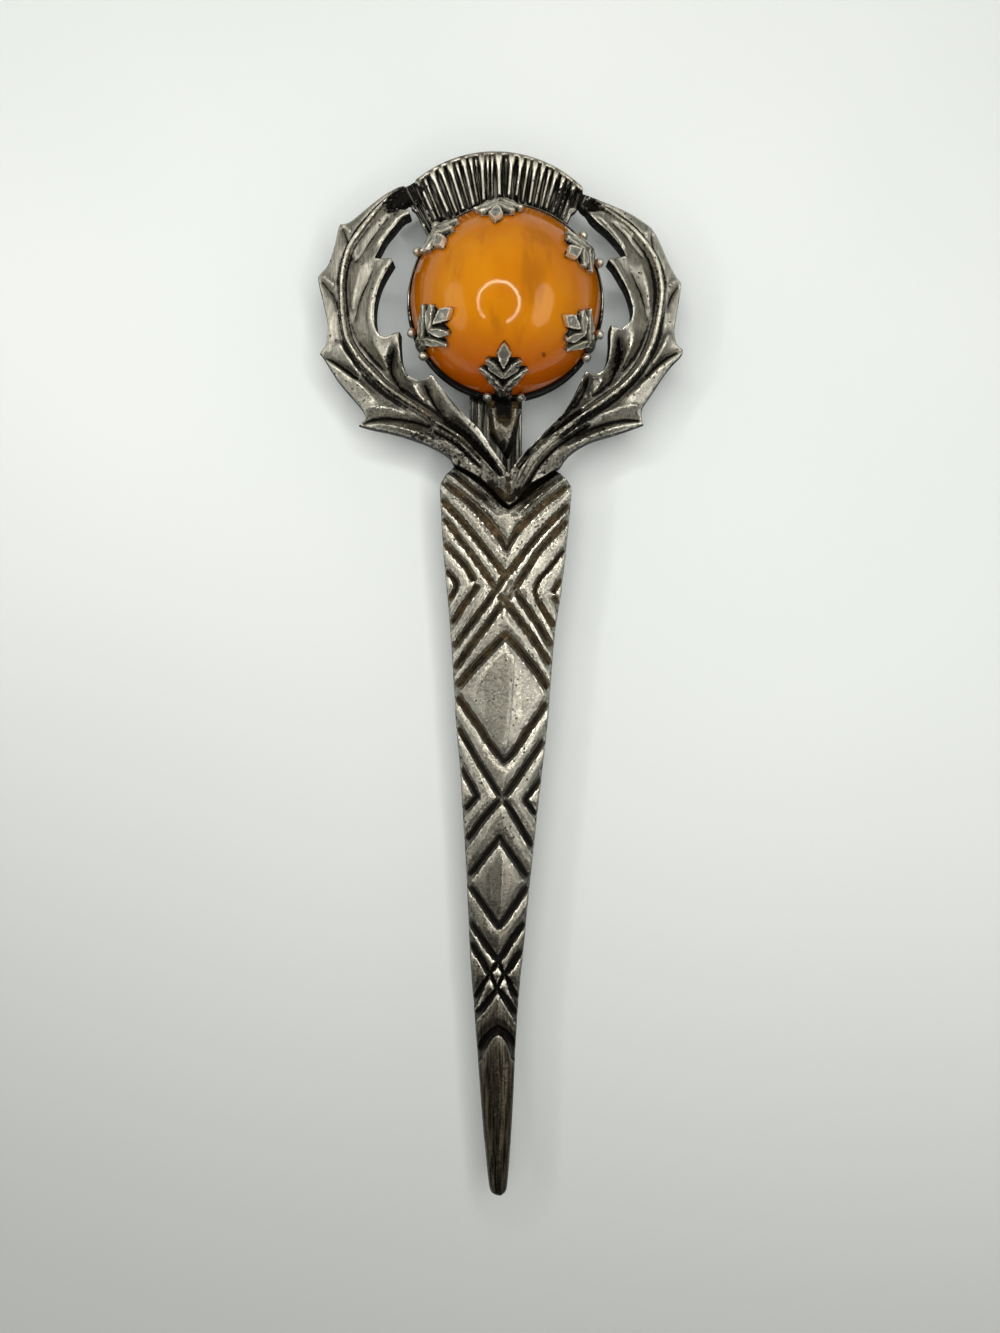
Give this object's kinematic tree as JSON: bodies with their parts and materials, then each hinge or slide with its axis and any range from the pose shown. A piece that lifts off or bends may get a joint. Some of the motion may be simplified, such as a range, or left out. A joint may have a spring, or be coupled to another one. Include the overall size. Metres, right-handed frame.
{
  "type": "thistle kilt pin",
  "caption": "Long cast pewter kilt pin: ribbed thistle plume and toothed leaves round a domed orange stone in leaf claws, above a tapering chevron-cut blade, with a pin and catch behind.",
  "frame": {"origin": "centre of the outline, on the table that the pin's hinge and catch rest on", "axes": "+Y from the blade's tip to the plume, +Z out of the face with the stone, +X to the right of that face"},
  "size_m": [0.0348, 0.1002, 0.0168],
  "materials": {
    "pewter": "antiqued cast pewter, dark in its cuts and worn bright on its ridges",
    "setting_metal": "antiqued cast pewter",
    "orange_stone": "polished, faintly clouded orange",
    "pin_steel": "plain drawn steel"
  },
  "bodies": {
    "root": {"casting": "pewter", "claw_setting": "setting_metal", "stone": "orange_stone", "pin_back": "pin_steel"}
  },
  "joints": []
}
